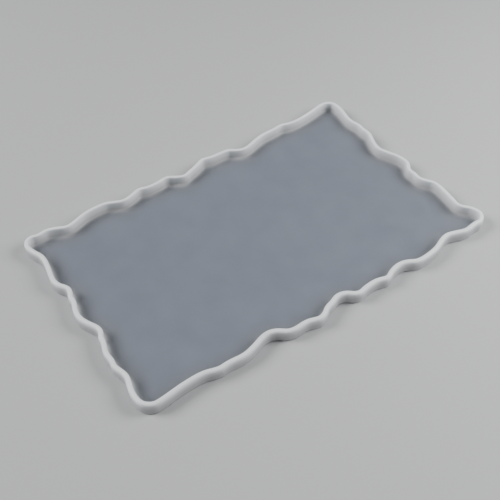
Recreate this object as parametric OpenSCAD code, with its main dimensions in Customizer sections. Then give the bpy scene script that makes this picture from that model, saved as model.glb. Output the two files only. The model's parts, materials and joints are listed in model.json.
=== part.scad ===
// Silicone casting mould for a resin tray with a wavy, natural-looking edge.
// One flat floor inside one low wall. The real mould is moulded in one shot; it is
// divided here at the floor's edge and across the four corners, so that each length
// of wall is a simple solid. The divided faces touch and never overlap.
// Units are millimetres, +Z is up, and the origin is under the middle of the mould.

/* [Overall size] */
// Length of the mould along X, over the outermost waves
overall_length = 390; // [350:5:430]
// Width of the mould along Y, over the outermost waves
overall_width = 250; // [225:5:275]
// Height of the wall, from the underside to the rim
wall_height = 13; // [8:0.5:25]

/* [Silicone thickness] */
// Thickness of the wall, square to its outline
wall_thickness = 4.5; // [2.5:0.5:4.5]
// Thickness of the floor
floor_thickness = 2.5; // [1.5:0.5:4]

/* [Wavy edge] */
// Depth of the waves along the four sides, in percent of the full depth
wave_depth = 100; // [60:5:105]
// Straight facets that make up the curve between two wave points
facets_per_span = 4; // [3:1:6]

/* [Hidden] */

floor_colour = "#8b929b";
wall_colour = "#d9dcde";

// Distance of each side's mean line from the middle of the drawn outline
front_line = 118;
right_line = 187;
rear_line = 116;
left_line = 189;

// Crests, hollows and shoulders of each side's waves, anticlockwise round the mould.
// Each is [place along the side, bulge outward from the mean line]: the place is X on
// the front and rear sides, and Y on the right and left sides.
front_waves = [
    [-170, -0.5], [-157, -2], [-144, -3], [-130, -2.5], [-122, 0], [-117, 1], [-109, 0.5],
    [-92, 1.5], [-80, -1.5], [-64, -6], [-57, -3.5], [-50, 2], [-43, 4], [-29, 3.5],
    [-17, 7], [-9, 4.5], [-4, 1], [3, -1], [11, -4], [18, -2.5], [24, 2.5], [30, 4.5],
    [38, 3], [52, 2.5], [62, 5.5], [72, 1], [84, -0.5], [90, 1.5], [97, 5.5], [111, 6],
    [126, 3.5], [144, -3], [153, -0.5], [164, 3], [177, 1.5]
];
right_waves = [
    [-97, 5], [-89, -1], [-82, 0], [-64, 3], [-54, 3.5], [-48, 2], [-42, -2],
    [-36, -4.5], [-29, -3.5], [-22, -4], [-17, -0.5], [-12, 2.5], [-5, 3], [3, 1.5],
    [14, -3], [24, -6.5], [38, -2.5], [50, 2.5], [59, 2], [67, 3], [80, 0.5], [92, 3]
];
rear_waves = [
    [164, 5.5], [138, 1], [126, 1.5], [117, 4], [105, 2.5], [90, 2], [78, -1], [60, -6.5],
    [54, -5], [45, 1], [36, 2], [23, 2], [12, 4], [6, 1.5], [-1, -2], [-10, -5],
    [-16, -7.5], [-24, -4], [-30, 0], [-36, 1], [-43, -0.5], [-56, -1], [-66, 1.5], [-76, -2],
    [-86, -4.5], [-94, -1.5], [-102, 2], [-112, 2.5], [-128, 1], [-141, -4], [-149, -6],
    [-158, -2], [-168, 1], [-178, -0.5]
];
left_waves = [
    [95, 3.5], [84, -1], [65, 1], [50, 3], [42, 1], [33, -4.5], [25, -1.5], [18, -1.5],
    [9, 1.5], [-4, 2], [-14, -2], [-25, -6.5], [-31, -3.5], [-37, -3], [-46, 0], [-53, 0.5],
    [-58, 0], [-65, 1], [-79, -3], [-90, 0]
];

// Turning points [X, Y] of the four rounded corners. The second point of each is its
// middle, where the wall is divided.
front_right_corner = [[185.5, -119.5], [190.5, -117], [195.5, -110], [195, -104]];
rear_right_corner = [[193, 109], [191, 119], [182, 124.5]];
rear_left_corner = [[-183, 117], [-190, 115], [-194.5, 107]];
front_left_corner = [[-190, -103], [-188, -110.5], [-179, -117.5]];

// Wave points as [X, Y], with the waves at their chosen depth
depth = wave_depth / 100;
front_side = [for (w = front_waves) [w[0], -front_line - w[1] * depth]];
right_side = [for (w = right_waves) [right_line + w[1] * depth, w[0]]];
rear_side = [for (w = rear_waves) [w[0], rear_line + w[1] * depth]];
left_side = [for (w = left_waves) [-left_line - w[1] * depth, w[0]]];

knots = concat(
    front_left_corner, front_side, front_right_corner, right_side,
    rear_right_corner, rear_side, rear_left_corner, left_side
);
knot_count = len(knots);

// Knots in the middle of the corners, where one length of wall meets the next
front_left_knot = 1;
front_right_knot = len(front_left_corner) + len(front_side) + 1;
rear_right_knot = front_right_knot + len(front_right_corner) + len(right_side);
rear_left_knot = rear_right_knot + len(rear_right_corner) + len(rear_side);

// A smooth closed curve through the knots. The tangent at a knot weighs the spans on
// its two sides by their lengths, so a short span beside a long one stays smooth.
function knot(i) = knots[(i + knot_count) % knot_count];
function span(i) = norm(knot(i + 1) - knot(i));
function tangent(i) =
    ((knot(i) - knot(i - 1)) * span(i) / span(i - 1)
    + (knot(i + 1) - knot(i)) * span(i - 1) / span(i)) / (span(i - 1) + span(i));
function between(i, t) =
    knot(i) * (2 * t^3 - 3 * t^2 + 1)
    + tangent(i) * span(i) * (t^3 - 2 * t^2 + t)
    + knot(i + 1) * (3 * t^2 - 2 * t^3)
    + tangent(i + 1) * span(i) * (t^3 - t^2);

knotted_curve = [
    for (i = [0 : knot_count - 1], step = [0 : facets_per_span - 1])
        between(i, step / facets_per_span)
];
point_count = len(knotted_curve);

// Each point is drawn half way towards the middle of its neighbours. It opens the
// tightest crests, so that the inner face stays smoothly rounded as well.
function knotted(i) = knotted_curve[(i + point_count) % point_count];
drawn_curve = [
    for (i = [0 : point_count - 1])
        knotted(i) / 2 + (knotted(i - 1) + knotted(i + 1)) / 4
];

// The drawn curve is fitted exactly to the overall length and width
low = [min([for (p = drawn_curve) p.x]), min([for (p = drawn_curve) p.y])];
high = [max([for (p = drawn_curve) p.x]), max([for (p = drawn_curve) p.y])];
middle = (low + high) / 2;
fit_x = overall_length / (high.x - low.x);
fit_y = overall_width / (high.y - low.y);
outer_curve = [for (p = drawn_curve) [(p.x - middle.x) * fit_x, (p.y - middle.y) * fit_y]];

// The inner curve lies one wall thickness inside, square to the outer one
function outer_point(i) = outer_curve[(i + point_count) % point_count];
function along(i) = outer_point(i + 1) - outer_point(i - 1);
function inward(i) = [-along(i).y, along(i).x] / norm(along(i));
inner_curve = [for (i = [0 : point_count - 1]) outer_point(i) + inward(i) * wall_thickness];

function inner_point(i) = inner_curve[(i + point_count) % point_count];

// Flat floor that fills the inner curve
module casting_floor() {
    color(floor_colour)
        linear_extrude(height = floor_thickness)
            polygon(inner_curve);
}

// One length of wall, from the middle of one corner to the middle of the next
module wall(from_knot, to_knot) {
    first = from_knot * facets_per_span;
    last = to_knot * facets_per_span;
    color(wall_colour)
        linear_extrude(height = wall_height)
            polygon(concat(
                [for (i = [first : last]) outer_point(i)],
                [for (i = [last : -1 : first]) inner_point(i)]
            ));
}

module front_wall() {
    wall(front_left_knot, front_right_knot);
}

module right_wall() {
    wall(front_right_knot, rear_right_knot);
}

module rear_wall() {
    wall(rear_right_knot, rear_left_knot);
}

module left_wall() {
    wall(rear_left_knot, knot_count + front_left_knot);
}

casting_floor();
front_wall();
right_wall();
rear_wall();
left_wall();
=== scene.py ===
# Silicone casting mould for a resin tray with a wavy edge: its looks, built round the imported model.
# One skin of milky silicone stands for the floor and the four lengths of wall.
import json
import math

import bmesh
import bpy
from mathutils import Matrix, Vector, kdtree

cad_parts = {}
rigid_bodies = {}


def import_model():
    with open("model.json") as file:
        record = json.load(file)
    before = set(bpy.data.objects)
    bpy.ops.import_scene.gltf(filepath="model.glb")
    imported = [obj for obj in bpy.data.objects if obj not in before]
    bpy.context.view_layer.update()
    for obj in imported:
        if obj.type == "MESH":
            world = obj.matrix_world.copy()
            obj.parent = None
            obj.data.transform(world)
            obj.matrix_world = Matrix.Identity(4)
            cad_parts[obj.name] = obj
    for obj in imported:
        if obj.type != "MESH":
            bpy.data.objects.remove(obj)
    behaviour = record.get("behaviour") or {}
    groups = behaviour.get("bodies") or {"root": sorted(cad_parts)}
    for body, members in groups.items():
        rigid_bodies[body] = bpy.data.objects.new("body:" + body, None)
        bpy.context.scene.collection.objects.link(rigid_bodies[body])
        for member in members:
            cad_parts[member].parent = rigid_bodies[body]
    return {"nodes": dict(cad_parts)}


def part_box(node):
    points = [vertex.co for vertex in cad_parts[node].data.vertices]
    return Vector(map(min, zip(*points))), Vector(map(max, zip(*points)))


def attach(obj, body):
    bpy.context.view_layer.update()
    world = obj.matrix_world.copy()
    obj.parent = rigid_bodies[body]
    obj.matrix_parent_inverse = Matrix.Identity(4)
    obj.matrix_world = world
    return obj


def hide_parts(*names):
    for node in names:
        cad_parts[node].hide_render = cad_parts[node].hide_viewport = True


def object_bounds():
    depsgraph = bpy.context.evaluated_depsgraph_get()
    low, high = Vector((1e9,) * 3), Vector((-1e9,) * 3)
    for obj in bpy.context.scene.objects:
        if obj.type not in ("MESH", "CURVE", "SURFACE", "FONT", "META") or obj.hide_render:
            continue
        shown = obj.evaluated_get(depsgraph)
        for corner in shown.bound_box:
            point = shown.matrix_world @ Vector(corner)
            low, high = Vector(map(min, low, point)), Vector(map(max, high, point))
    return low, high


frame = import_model()
cad_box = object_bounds()

# ---------------------------------------------------------------------------
# The moulding
# ---------------------------------------------------------------------------
# A single moulding of platinum-cure silicone rubber: a flat floor with a wavy wall all
# round it. It is poured or pressed in one shot, so the rim is fully rounded and the wall
# runs into the floor through a soft fillet, with no joint anywhere.

WALL_NODES = ["front_wall", "right_wall", "rear_wall", "left_wall"]

# The section of the wall, in metres: its heights, and the rounding of its corners
rim_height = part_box("front_wall")[1].z
floor_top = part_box("casting_floor")[1].z
RIM_ROUND_OUTSIDE = 0.0024
RIM_ROUND_INSIDE = 0.0012
FLOOR_FILLET = 0.0026
FOOT_ROUND = 0.0010

# Steps of the mesh on the floor and the underside: a margin beside the wall, then a grid
FLOOR_MARGIN = 0.0005
UNDERSIDE_MARGIN = 0.0030
FLOOR_GRID = 0.005
MANY_SIDES = 100
WELD = 0.00001


def choose(kind, test):
    """Selects, in edit mode, the faces, edges or vertices for which test is true."""
    bpy.ops.mesh.select_mode(type=kind)
    bpy.ops.mesh.select_all(action="DESELECT")
    mesh = bmesh.from_edit_mesh(mould.data)
    for item in {"FACE": mesh.faces, "EDGE": mesh.edges, "VERT": mesh.verts}[kind]:
        if test(item):
            item.select_set(True)
    mesh.select_flush_mode()
    bmesh.update_edit_mesh(mould.data)


def level(item, height):
    """True for an edge or face that lies flat at one height."""
    return all(abs(v.co.z - height) < WELD for v in item.verts)


def outline(height, outer):
    """A test for the edges where the outer or inner wall face meets the flat at one height."""

    def test(edge):
        walls = [f for f in edge.link_faces if abs(f.normal.z) < 0.5]
        lowest = [min(v.co.z for v in f.verts) for f in walls]
        return level(edge, height) and any((z < floor_top - WELD) == outer for z in lowest)

    return test


# A joined copy of the four lengths of wall gives the outlines. It drops their frame marks.
bpy.ops.object.select_all(action="DESELECT")
for name in WALL_NODES:
    frame["nodes"][name].select_set(True)
bpy.context.view_layer.objects.active = frame["nodes"]["front_wall"]
bpy.ops.object.duplicate()
bpy.ops.object.join()
mould = bpy.context.active_object
mould.name = "silicone_mould"
for mark in [key for key in mould.keys() if key.startswith("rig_")]:
    del mould[mark]
mould.parent = None
mould.data.materials.clear()

bpy.ops.object.mode_set(mode="EDIT")
bpy.ops.mesh.select_all(action="SELECT")
bpy.ops.mesh.remove_doubles(threshold=WELD)

# Only the outer and inner outlines of the rim are kept
choose("FACE", lambda f: not level(f, rim_height))
bpy.ops.mesh.delete(type="FACE")
choose("EDGE", lambda e: not e.is_boundary)
bpy.ops.mesh.delete(type="EDGE")

# The outer outline is pulled down to the underside and closed there
length_end = cad_box[1].x
choose("VERT", lambda v: v.co.x > length_end - WELD)
bpy.ops.mesh.select_linked()
bpy.ops.mesh.extrude_edges_move(TRANSFORM_OT_translate={"value": (0, 0, -rim_height)})
bpy.ops.mesh.edge_face_add()

# The inner outline is pulled down to the floor and closed there
bpy.ops.mesh.select_linked()
bpy.ops.mesh.select_all(action="INVERT")
bpy.ops.mesh.extrude_edges_move(TRANSFORM_OT_translate={"value": (0, 0, floor_top - rim_height)})
bpy.ops.mesh.edge_face_add()
bpy.ops.mesh.select_linked()
bpy.ops.object.vertex_group_add()
bpy.ops.object.vertex_group_assign()
inside = mould.vertex_groups.active.index

# The rim joins the two, and every corner of the section is rounded
choose("EDGE", lambda e: level(e, rim_height))
bpy.ops.mesh.bridge_edge_loops()
bpy.ops.mesh.select_all(action="SELECT")
bpy.ops.mesh.normals_make_consistent(inside=False)
for height, outer, radius, steps in (
    (rim_height, True, RIM_ROUND_OUTSIDE, 4),
    (rim_height, False, RIM_ROUND_INSIDE, 3),
    (floor_top, False, FLOOR_FILLET, 4),
    (0.0, True, FOOT_ROUND, 2),
):
    choose("EDGE", outline(height, outer))
    bpy.ops.mesh.bevel(offset=radius, segments=steps, profile=0.5, clamp_overlap=False)

# The floor and the underside get their margin and grid
for height, margin in ((floor_top, FLOOR_MARGIN), (0.0, UNDERSIDE_MARGIN)):
    choose("FACE", lambda f: len(f.verts) > MANY_SIDES and level(f, height))
    bpy.ops.mesh.inset(thickness=margin)
    bpy.ops.object.vertex_group_assign()
    bpy.ops.mesh.hide(unselected=True)
    for axis in (0, 1):
        rows = math.floor(cad_box[1][axis] / FLOOR_GRID)
        for row in range(-rows, rows + 1):
            cut_place = Vector((0, 0, 0))
            cut_place[axis] = row * FLOOR_GRID
            cut_normal = Vector((0, 0, 0))
            cut_normal[axis] = 1
            bpy.ops.mesh.select_all(action="SELECT")
            bpy.ops.mesh.bisect(plane_co=cut_place, plane_no=cut_normal)
    bpy.ops.mesh.reveal(select=False)
bpy.ops.object.mode_set(mode="OBJECT")

bpy.ops.object.modifier_add(type="SUBSURF")
mould.modifiers[-1].levels = 1
mould.modifiers[-1].render_levels = 1
bpy.ops.object.modifier_apply(modifier=mould.modifiers[-1].name)
bpy.ops.object.shade_smooth()

# The finish is milky translucent silicone, cast against a satin master. A thick section
# scatters the light back and looks white; the thin floor lets a dark table through and
# looks a cool grey. The eye gets soft edges, a broad dull sheen and a faint cloudiness.

# Part of this base colour is painted light: painted shade darkens the walls towards their foot and the
# floor beside the wall, and the wall's white is painted out onto the floor as a glow
RIM_WHITE = "#edf0f3"
# Painted shade: the two foot greys make the walls darker towards their foot; the rim white is the wall's
# own milky white
INNER_FOOT_PAINTED_SHADE = "#bbbdbe"
OUTER_FOOT_PAINTED_SHADE = "#bdbfc1"
FLOOR_GREY = "#747a85"
# Painted shade: the floor is painted darker beside the wall, where the wall shades it
FLOOR_PAINTED_SHADE = "#6f7279"

# Where the colours turn, in metres: the height up to which the outer face keeps its foot's painted
# shade, the height and run over which wall turns to floor, and the reach of the painted shade that the
# wall puts on the floor
OUTER_CLEAR_HEIGHT = 0.0060
# The turn is partly the thin floor's own grey and partly painted light: a glow of the wall's white
# painted out across the floor
TURN_HEIGHT = 0.0050
TURN_LENGTH = 0.0125
SHADE_REACH = 0.024

# Cured silicone has an IOR of about 1.41. Light runs about 4 mm under its surface.
SILICONE_IOR = 1.41
SCATTER_SHARE = 0.4
SCATTER_DEPTH = 0.004
SCATTER_BY_COLOUR = (1.0, 0.95, 0.9)
SATIN_ROUGHNESS = (0.40, 0.50)

# The clouds are uneven mixing of the rubber, about 25 mm across. The master's sanding
# leaves marks of about 0.1 mm, drawn 1.2 mm wide here, because finer ones don't show.
CLOUD_SIZE = 0.025
CLOUD_RANGE = (0.3, 0.7)
CLOUD_BRIGHTNESS = (0.96, 1.04)
STIPPLE_SIZE = 0.0012
STIPPLE_DEPTH = 0.00002

# The sockets of a colour Mix node, by number
MIX_SHARE = 0
MIX_FROM = 6
MIX_TO = 7
MIX_RESULT = 2


def linear(hex_colour):
    """An sRGB hex colour as the linear RGBA that a shader takes."""
    parts = [int(hex_colour[i : i + 2], 16) / 255 for i in (1, 3, 5)]
    return [c / 12.92 if c <= 0.04045 else ((c + 0.055) / 1.055) ** 2.4 for c in parts] + [1]


def add(tree, kind, inputs=None, **settings):
    """Adds a node with its settings; inputs gives sockets a value or another node's output."""
    made = tree.nodes.new(kind)
    for key, value in settings.items():
        setattr(made, key, value)
    for socket, value in (inputs or {}).items():
        if isinstance(value, bpy.types.NodeSocket):
            tree.links.new(value, made.inputs[socket])
        else:
            made.inputs[socket].default_value = value
    return made


def smooth(share):
    """0 to 1 with soft ends."""
    share = min(max(share, 0), 1)
    return share * share * (3 - 2 * share)


# Four attributes lead the colours: whether a point is on the inner face, how white its height makes it
# (painted light, with painted shade towards the foot), how far it is thin floor past the wall's painted
# glow, and how close it is to the wall
skin = mould.data.vertices
sheet = [any(g.group == inside and g.weight > 0.5 for g in v.groups) for v in skin]
wall_plan = [
    Vector((v.co.x, v.co.y, 0))
    for v, is_sheet in zip(skin, sheet)
    if is_sheet and FLOOR_FILLET < v.co.z - floor_top < 2 * FLOOR_FILLET
]
wall_tree = kdtree.KDTree(len(wall_plan))
for number, spot in enumerate(wall_plan):
    wall_tree.insert(spot, number)
wall_tree.balance()
inner = []
white = []
thin = []
painted_shade_share = []
for v, is_sheet in zip(skin, sheet):
    gap = wall_tree.find((v.co.x, v.co.y, 0))[2]
    drop = max(TURN_HEIGHT - (v.co.z - floor_top), 0) if v.co.z > floor_top - WELD else 0
    clear = 0 if is_sheet else OUTER_CLEAR_HEIGHT
    inner.append(1.0 if is_sheet else 0.0)
    # Painted light by height: full white at the rim, painted shade down towards the foot
    white.append(smooth((v.co.z - clear) / (rim_height - clear)))
    # Partly the thin floor's own grey, partly a painted glow of the wall's white carried out across the
    # floor
    thin.append(smooth((drop + gap) / TURN_LENGTH) if is_sheet else 0)
    # Painted shade that the wall puts on the floor beside it, fading over the reach
    painted_shade_share.append(1 - smooth(gap / SHADE_REACH))
for name, values in (
    ("inner_face", inner),
    ("painted_height_light", white),
    ("thin_floor_past_glow", thin),
    ("painted_wall_shade", painted_shade_share),
):
    mould.data.attributes.new(name, "FLOAT", "POINT").data.foreach_set("value", values)

silicone = bpy.data.materials.new("milky_silicone_rubber")
silicone.use_nodes = True
tree = silicone.node_tree
tree.nodes.clear()
object_place = add(tree, "ShaderNodeTexCoord").outputs["Object"]
inner_face = add(tree, "ShaderNodeAttribute", attribute_name="inner_face")
painted_height_light = add(tree, "ShaderNodeAttribute", attribute_name="painted_height_light")
thin_floor_past_glow = add(tree, "ShaderNodeAttribute", attribute_name="thin_floor_past_glow")
painted_wall_shade = add(tree, "ShaderNodeAttribute", attribute_name="painted_wall_shade")
# Painted shade: the wall colour darkens from the rim white to a painted shade at its foot
foot_painted_shade = add(
    tree, "ShaderNodeMix",
    {MIX_SHARE: inner_face.outputs["Fac"], MIX_FROM: linear(OUTER_FOOT_PAINTED_SHADE),
     MIX_TO: linear(INNER_FOOT_PAINTED_SHADE)},
    data_type="RGBA",
)
wall_colour_with_shade = add(
    tree, "ShaderNodeMix",
    {MIX_SHARE: painted_height_light.outputs["Fac"], MIX_FROM: foot_painted_shade.outputs[MIX_RESULT],
     MIX_TO: linear(RIM_WHITE)},
    data_type="RGBA",
)
# Painted shade: the floor grey darkens beside the wall
floor_colour_with_shade = add(
    tree, "ShaderNodeMix",
    {MIX_SHARE: painted_wall_shade.outputs["Fac"], MIX_FROM: linear(FLOOR_GREY),
     MIX_TO: linear(FLOOR_PAINTED_SHADE)},
    data_type="RGBA",
)
# Wall colour turns to the floor's grey; where it runs out onto the floor it is a painted glow
body = add(
    tree, "ShaderNodeMix",
    {MIX_SHARE: thin_floor_past_glow.outputs["Fac"], MIX_FROM: wall_colour_with_shade.outputs[MIX_RESULT],
     MIX_TO: floor_colour_with_shade.outputs[MIX_RESULT]},
    data_type="RGBA",
)
cloud = add(
    tree, "ShaderNodeTexNoise",
    {"Vector": object_place, "Scale": 1 / CLOUD_SIZE, "Detail": 3},
)
cloud_lift = add(
    tree, "ShaderNodeMapRange",
    {"Value": cloud.outputs["Fac"], "From Min": CLOUD_RANGE[0], "From Max": CLOUD_RANGE[1],
     "To Min": CLOUD_BRIGHTNESS[0], "To Max": CLOUD_BRIGHTNESS[1]},
)
cloudy_body = add(
    tree, "ShaderNodeHueSaturation",
    {"Color": body.outputs[MIX_RESULT], "Value": cloud_lift.outputs["Result"]},
)
satin = add(
    tree, "ShaderNodeMapRange",
    {"Value": cloud.outputs["Fac"], "From Min": CLOUD_RANGE[0], "From Max": CLOUD_RANGE[1],
     "To Min": SATIN_ROUGHNESS[0], "To Max": SATIN_ROUGHNESS[1]},
)
stipple = add(
    tree, "ShaderNodeTexNoise",
    {"Vector": object_place, "Scale": 1 / STIPPLE_SIZE, "Detail": 1},
)
grain = add(
    tree, "ShaderNodeBump",
    {"Height": stipple.outputs["Fac"], "Strength": 1.0, "Distance": STIPPLE_DEPTH},
)
shader = add(
    tree, "ShaderNodeBsdfPrincipled",
    {"Base Color": cloudy_body.outputs["Color"], "Roughness": satin.outputs["Result"],
     "Normal": grain.outputs["Normal"], "IOR": SILICONE_IOR,
     "Subsurface Weight": SCATTER_SHARE, "Subsurface Radius": SCATTER_BY_COLOUR,
     "Subsurface Scale": SCATTER_DEPTH},
)
add(tree, "ShaderNodeOutputMaterial", {"Surface": shader.outputs["BSDF"]})
mould.data.materials.append(silicone)

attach(mould, "root")
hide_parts("casting_floor", *WALL_NODES)

# ---------------------------------------------------------------------------
# The studio table and its lights
# ---------------------------------------------------------------------------
# The mould lies on a table covered with matt pale-grey background paper. Two low softboxes,
# behind on the left and in front on the right, rake across the waves of the wall, and a
# weak white room light fills the rest.

TABLE_SIZE = 6
PAPER_GREY = "#b6b7b8"
PAPER_ROUGHNESS = 0.9
ROOM_WHITE = (1, 1, 1, 1)
ROOM_STRENGTH = 0.12

bpy.ops.mesh.primitive_plane_add(size=TABLE_SIZE)
table = bpy.context.active_object
table.name = "studio_table"
paper = bpy.data.materials.new("pale_studio_paper")
paper.use_nodes = True
paper_shader = paper.node_tree.nodes["Principled BSDF"]
paper_shader.inputs["Base Color"].default_value = linear(PAPER_GREY)
paper_shader.inputs["Roughness"].default_value = PAPER_ROUGHNESS
table.data.materials.append(paper)


def softbox(name, azimuth, elevation, distance, width, watts):
    """A round soft light aimed at the mould; azimuth 0 is in front and 90 on the right."""
    turn = math.radians(azimuth)
    lift = math.radians(elevation)
    towards = Vector((math.sin(turn) * math.cos(lift), -math.cos(turn) * math.cos(lift), math.sin(lift)))
    light = bpy.data.lights.new(name, "AREA")
    light.shape = "DISK"
    light.size = width
    light.energy = watts
    lamp = bpy.data.objects.new(name, light)
    bpy.context.scene.collection.objects.link(lamp)
    lamp.location = distance * towards
    lamp.rotation_euler = (-lamp.location).to_track_quat("-Z", "Y").to_euler()


softbox("left_softbox", azimuth=-127, elevation=40, distance=2.6, width=1.4, watts=74)
softbox("right_softbox", azimuth=58, elevation=38, distance=1.1, width=0.65, watts=13)

room = bpy.data.worlds.new("studio_room")
room.use_nodes = True
room_light = room.node_tree.nodes["Background"]
room_light.inputs["Color"].default_value = ROOM_WHITE
room_light.inputs["Strength"].default_value = ROOM_STRENGTH
bpy.context.scene.world = room

# ---------------------------------------------------------------------------
# The camera
# ---------------------------------------------------------------------------
# It looks down at the mould from in front on the left, through a slightly long lens, and is
# rolled by about a degree. The angles are in degrees and the lengths in metres.

VIEW_AZIMUTH = 33.76
VIEW_ELEVATION = 46.44
VIEW_ROLL = -1.04
VIEW_DISTANCE = 0.7240
AIM = Vector((-0.01543, -0.01138, 0))
LENS_MM = 54
SENSOR_MM = 36

camera = bpy.data.cameras.new("camera")
camera.lens = LENS_MM
camera.sensor_width = SENSOR_MM
viewer = bpy.data.objects.new("camera", camera)
bpy.context.scene.collection.objects.link(viewer)
view_turn = (
    Matrix.Rotation(math.radians(-VIEW_AZIMUTH), 4, "Z")
    @ Matrix.Rotation(math.radians(90 - VIEW_ELEVATION), 4, "X")
    @ Matrix.Rotation(math.radians(VIEW_ROLL), 4, "Z")
)
viewer.matrix_world = Matrix.Translation(AIM) @ view_turn @ Matrix.Translation((0, 0, VIEW_DISTANCE))
bpy.context.scene.camera = viewer
